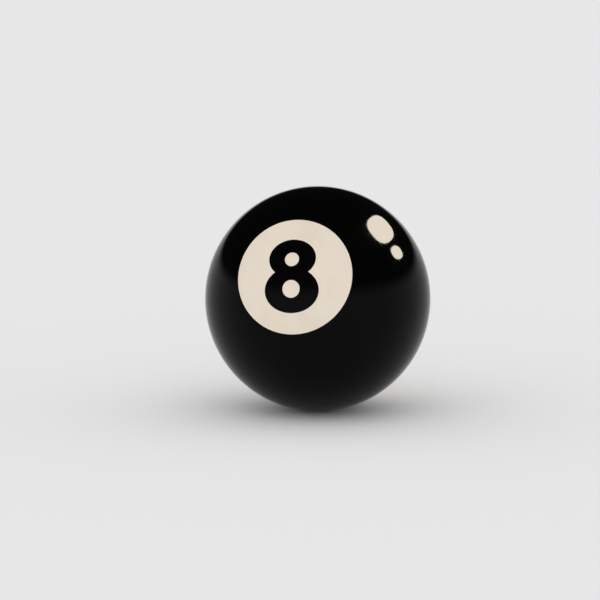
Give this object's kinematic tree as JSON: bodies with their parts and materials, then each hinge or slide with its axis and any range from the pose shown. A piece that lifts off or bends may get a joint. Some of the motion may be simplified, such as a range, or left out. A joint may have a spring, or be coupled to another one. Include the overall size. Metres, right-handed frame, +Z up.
{
  "type": "numbered pool ball",
  "caption": "Black pool ball with a pale disc and a dark figure 8 set flush into its front and its back.",
  "frame": {"origin": "centre of the ball", "axes": "+Z up. The line through both figures lies in the YZ plane: the front figure faces -Y, tipped 20 degrees up, and the back figure faces +Y, tipped 20 degrees down. +X is to the right as the front figure is read."},
  "size_m": [0.0572, 0.0572, 0.0572],
  "materials": {
    "black_resin": "black cast phenolic resin, polished to a high gloss",
    "ivory_resin": "warm ivory cast phenolic resin, polished flush with the ball",
    "figure_resin": "black cast phenolic resin, polished flush with the disc"
  },
  "bodies": {
    "root": {"ball_body": "black_resin", "front_disc": "ivory_resin", "front_figure": "figure_resin", "back_disc": "ivory_resin", "back_figure": "figure_resin"}
  },
  "joints": []
}
